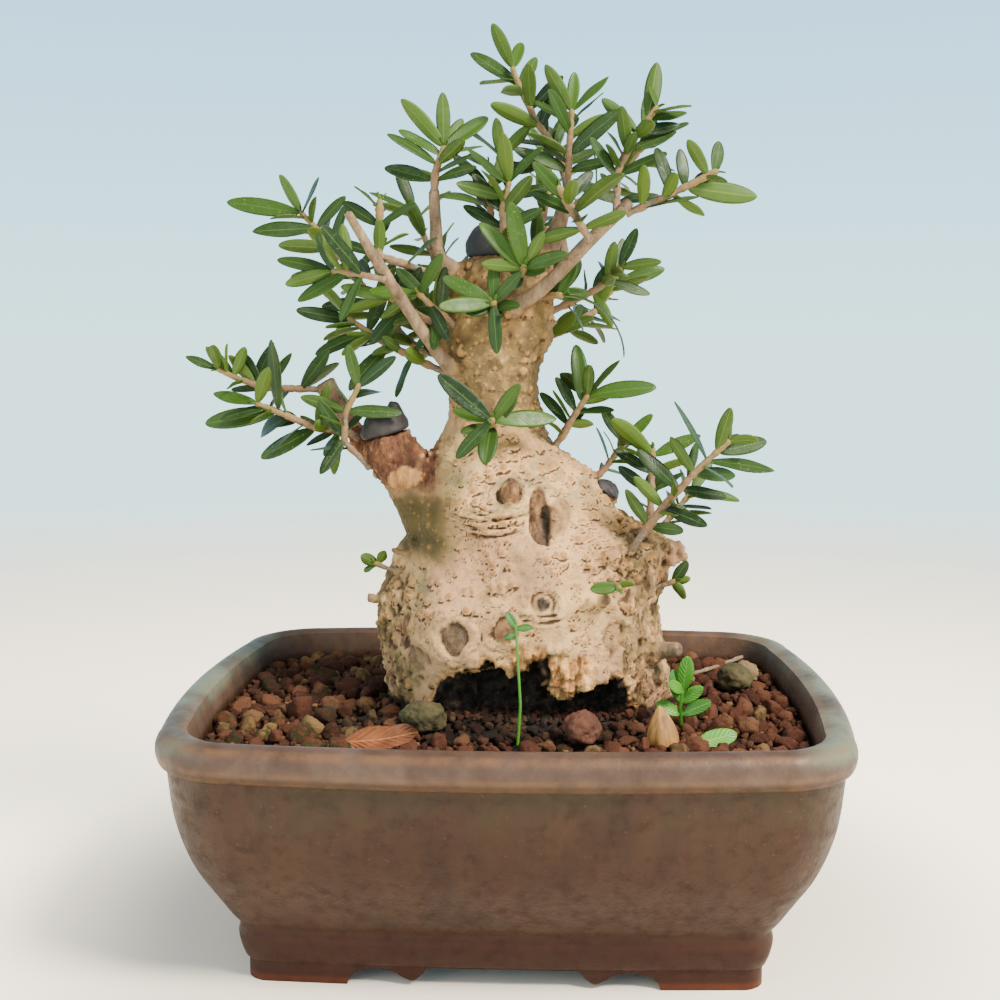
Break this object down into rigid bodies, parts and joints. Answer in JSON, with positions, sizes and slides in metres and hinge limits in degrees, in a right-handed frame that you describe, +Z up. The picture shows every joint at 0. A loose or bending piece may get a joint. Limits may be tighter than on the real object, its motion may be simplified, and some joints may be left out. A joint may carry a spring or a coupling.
{
  "type": "wild olive bonsai",
  "caption": "Wild olive bonsai with a thick gnarled trunk, sealed saw cuts and sprays of small leaves, planted in granular soil in a low rectangular glazed pot on corner feet.",
  "frame": {"origin": "centre of the base of the pot, on the surface that it stands on", "axes": "+Z up; the long side of the pot runs along X; the front of the tree faces -Y"},
  "size_m": [0.2048, 0.1628, 0.2755],
  "materials": {
    "glaze": "satin",
    "net": "matte",
    "granules": "matte",
    "bark": "matte",
    "paste": "matte",
    "leaf": "satin",
    "young_leaf": "satin",
    "dry_leaf": "matte",
    "husk": "matte",
    "dead_wood": "matte",
    "mossy_stone": "matte",
    "red_stone": "matte",
    "tan_stone": "matte"
  },
  "bodies": {
    "root": {"dead_twig": "dead_wood", "drain_screen_left": "net", "drain_screen_right": "net", "dry_leaf": "dry_leaf", "fallen_leaf": "young_leaf", "paste_shoulder": "paste", "paste_stump": "paste", "paste_top": "paste", "pot": "glaze", "seed_husk": "husk", "seedling": "young_leaf", "shoot_back_left": "leaf", "shoot_back_low": "leaf", "shoot_back_mid": "leaf", "shoot_back_right": "leaf", "shoot_back_top": "leaf", "shoot_by_cut": "leaf", "shoot_cut_node": "leaf", "shoot_far_left": "leaf", "shoot_hanging": "leaf", "shoot_inner_cut": "leaf", "shoot_inner_left": "leaf", "shoot_left_back": "leaf", "shoot_left_low": "leaf", "shoot_long_side": "leaf", "shoot_low_left": "leaf", "shoot_lower_right": "leaf", "shoot_mid_top": "leaf", "shoot_middle_right": "leaf", "shoot_neck_left": "leaf", "shoot_right_back": "leaf", "shoot_right_fork": "leaf", "shoot_right_tip": "leaf", "shoot_shoulder": "leaf", "shoot_shoulder_back": "leaf", "shoot_shoulder_top": "leaf", "shoot_star": "leaf", "shoot_star_low": "leaf", "shoot_star_upper": "leaf", "shoot_top": "leaf", "shoot_top_front": "leaf", "shoot_top_inner": "leaf", "shoot_under_right": "leaf", "shoot_up_left": "leaf", "soil": "granules", "sprout_front": "leaf", "sprout_left": "leaf", "sprout_right": "leaf", "stone_mossy": "mossy_stone", "stone_red": "red_stone", "stone_round": "mossy_stone", "stone_tan": "tan_stone", "trunk": "bark", "weed": "young_leaf"}
  },
  "joints": []
}
